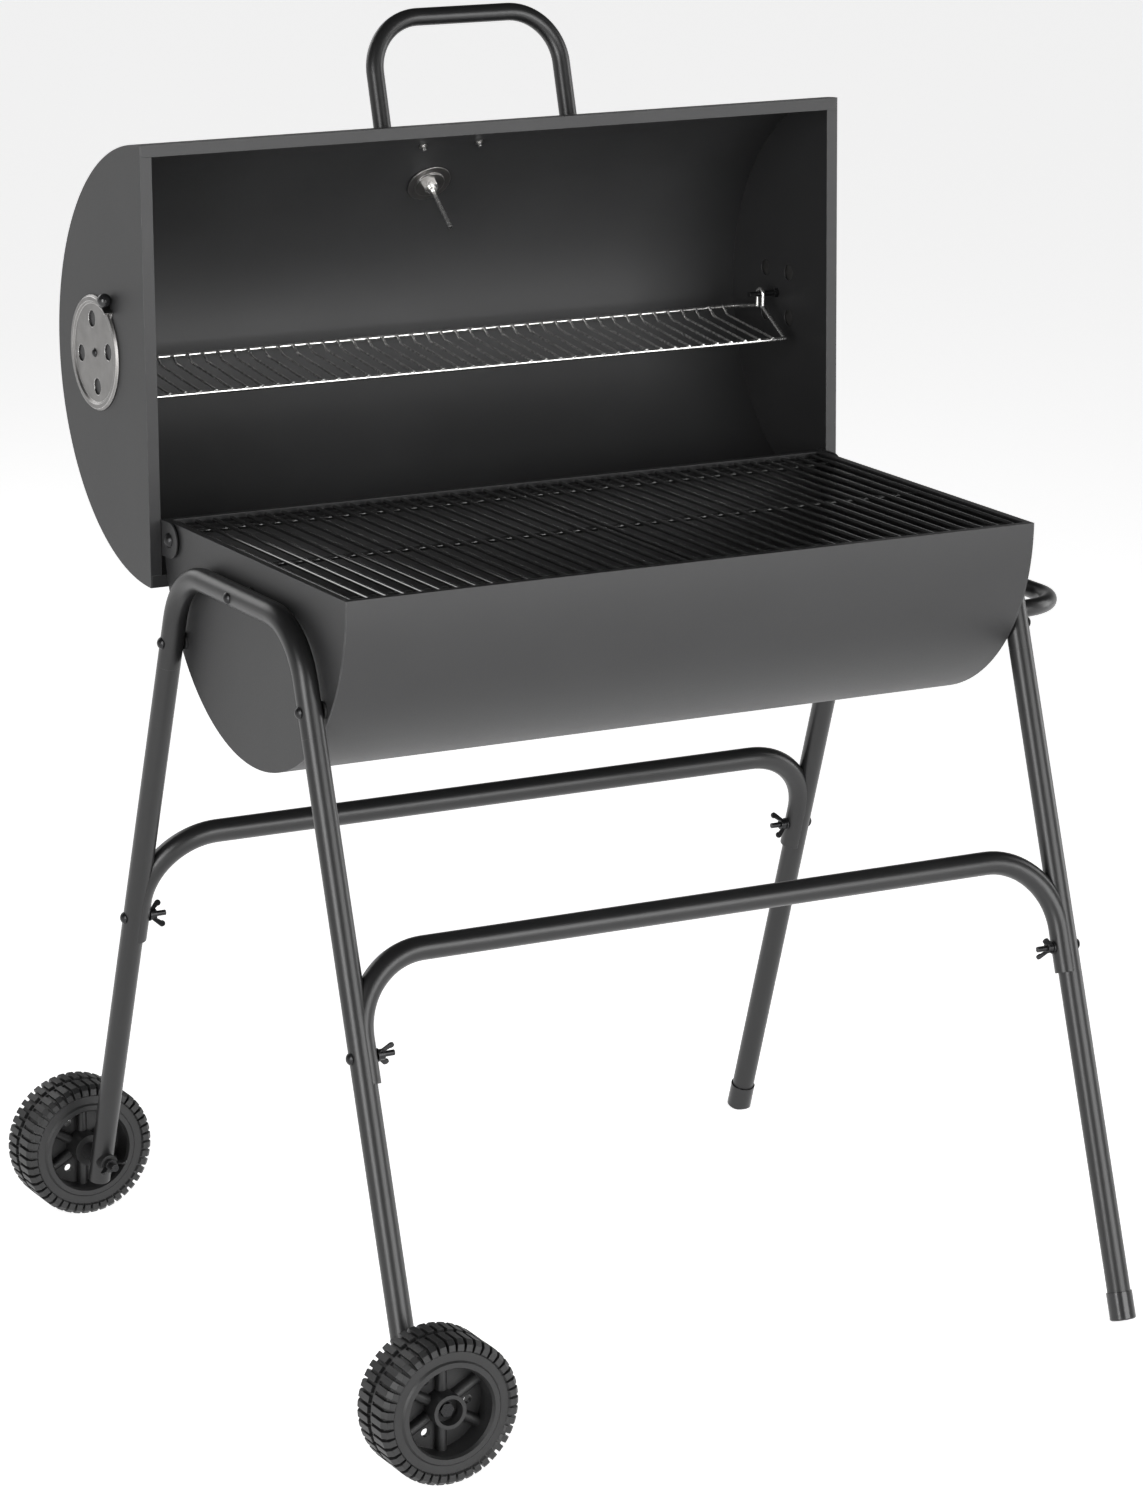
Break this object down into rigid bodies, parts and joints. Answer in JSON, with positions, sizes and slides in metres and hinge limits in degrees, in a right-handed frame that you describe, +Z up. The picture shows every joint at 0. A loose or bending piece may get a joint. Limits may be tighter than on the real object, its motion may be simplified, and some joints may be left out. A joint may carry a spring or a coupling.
{
  "type": "barrel charcoal grill",
  "caption": "Half-barrel charcoal grill on a wheeled bent-tube frame, lid open, with hanging rack, lift-out wire grates and turning air dampers.",
  "frame": {"origin": "on the floor, at the middle of the whole object footprint with the lid open", "axes": "+Z up, -Y the front that the user stands at, X along the barrel with the wheels at -X and the side handle at +X"},
  "size_m": [1.017, 0.948, 1.3335],
  "materials": {
    "sheet_coat": "matte powder coat",
    "tube_paint": "satin",
    "chrome_plate": "polished",
    "black_plastic": "moulded",
    "black_fastener": "black oxide",
    "grate_wire": "enamelled",
    "dial_face": "matte",
    "needle_red": "matte",
    "lens_glass": "clear"
  },
  "bodies": {
    "stand": {"bowl_shell": "sheet_coat", "bowl_end_left": "sheet_coat", "bowl_end_right": "sheet_coat", "cooking_grate_ledges": "sheet_coat", "charcoal_grate_ledges": "sheet_coat", "ledge_rivets": "black_fastener", "upper_frame_left": "tube_paint", "upper_frame_right": "tube_paint", "leg_front_left": "tube_paint", "leg_rear_left": "tube_paint", "leg_front_right": "tube_paint", "leg_rear_right": "tube_paint", "brace_front": "tube_paint", "brace_rear": "tube_paint", "foot_caps": "black_plastic", "frame_bolts": "black_fastener", "frame_spacers": "black_plastic", "frame_nuts": "black_fastener", "brace_bolts": "black_fastener", "brace_washers": "black_fastener", "brace_wing_nuts": "black_fastener", "axle_bolts": "black_fastener", "axle_saddles": "black_plastic", "axle_wing_nuts": "black_fastener", "side_handle": "tube_paint", "side_handle_plugs": "black_plastic", "side_handle_screws": "black_fastener", "hinge_bolts": "black_fastener", "hinge_washers": "black_fastener", "hinge_nuts": "black_fastener"},
    "lid": {"lid_shell": "sheet_coat", "lid_end_left": "sheet_coat", "lid_end_right": "sheet_coat", "hinge_ear_left": "sheet_coat", "hinge_ear_right": "sheet_coat", "lid_handle": "tube_paint", "lid_handle_plugs": "black_plastic", "lid_handle_screws": "black_fastener", "thermometer_case": "chrome_plate", "thermometer_dial": "dial_face", "thermometer_lens": "lens_glass", "thermometer_washers": "chrome_plate", "thermometer_nut": "chrome_plate", "badge_plate": "chrome_plate", "badge_nuts": "chrome_plate", "damper_bolts": "black_fastener", "damper_nuts": "black_fastener"},
    "needle": {"thermometer_needle": "needle_red"},
    "left_damper": {"damper_disc_left": "chrome_plate", "damper_knob_left": "black_plastic"},
    "right_damper": {"damper_disc_right": "chrome_plate", "damper_knob_right": "black_plastic"},
    "rack": {"warming_rack": "chrome_plate"},
    "front_wheel": {"wheel_front": "black_plastic"},
    "rear_wheel": {"wheel_rear": "black_plastic"},
    "left_cooking_grate": {"cooking_grate_left": "grate_wire"},
    "right_cooking_grate": {"cooking_grate_right": "grate_wire"},
    "charcoal_grate_body": {"charcoal_grate": "grate_wire"}
  },
  "joints": [
    {"name": "lid_hinge", "type": "hinge", "parent": "stand", "child": "lid", "pos_m": [-0.0185, 0.194, 0.81], "axis": [1, 0, 0], "range_deg": [0, 91.35]},
    {"name": "needle_turn", "type": "hinge", "parent": "lid", "child": "needle", "pos_m": [-0.0185, 0.394, 1.1335], "axis": [0, 0.781, 0.6246], "range_deg": [-270, 0], "stiffness_Nm_per_rad": 0.0005},
    {"name": "left_damper_turn", "type": "hinge", "parent": "lid", "child": "left_damper", "pos_m": [-0.4365, 0.34478, 0.9855], "axis": [1, 0, 0], "range_deg": [0, 53]},
    {"name": "right_damper_turn", "type": "hinge", "parent": "lid", "child": "right_damper", "pos_m": [0.3995, 0.34478, 0.9855], "axis": [1, 0, 0], "range_deg": [0, 53]},
    {"name": "rack_swing", "type": "hinge", "parent": "lid", "child": "rack", "pos_m": [-0.0185, 0.34478, 0.9855], "axis": [1, 0, 0], "range_deg": [-115, 20]},
    {"name": "front_wheel_spin", "type": "hinge", "parent": "stand", "child": "front_wheel", "pos_m": [-0.4335, -0.4425, 0.075], "axis": [0, 1, 0], "continuous": true},
    {"name": "rear_wheel_spin", "type": "hinge", "parent": "stand", "child": "rear_wheel", "pos_m": [-0.4335, 0.4425, 0.075], "axis": [0, 1, 0], "continuous": true},
    {"name": "left_cooking_grate_lift", "type": "slide", "parent": "stand", "child": "left_cooking_grate", "axis": [0, 0, -1], "range_m": [-0.25, 0]},
    {"name": "right_cooking_grate_lift", "type": "slide", "parent": "stand", "child": "right_cooking_grate", "axis": [0, 0, -1], "range_m": [-0.25, 0]},
    {"name": "charcoal_grate_lift", "type": "slide", "parent": "stand", "child": "charcoal_grate_body", "axis": [0, 0, -1], "range_m": [-0.1, 0]}
  ]
}
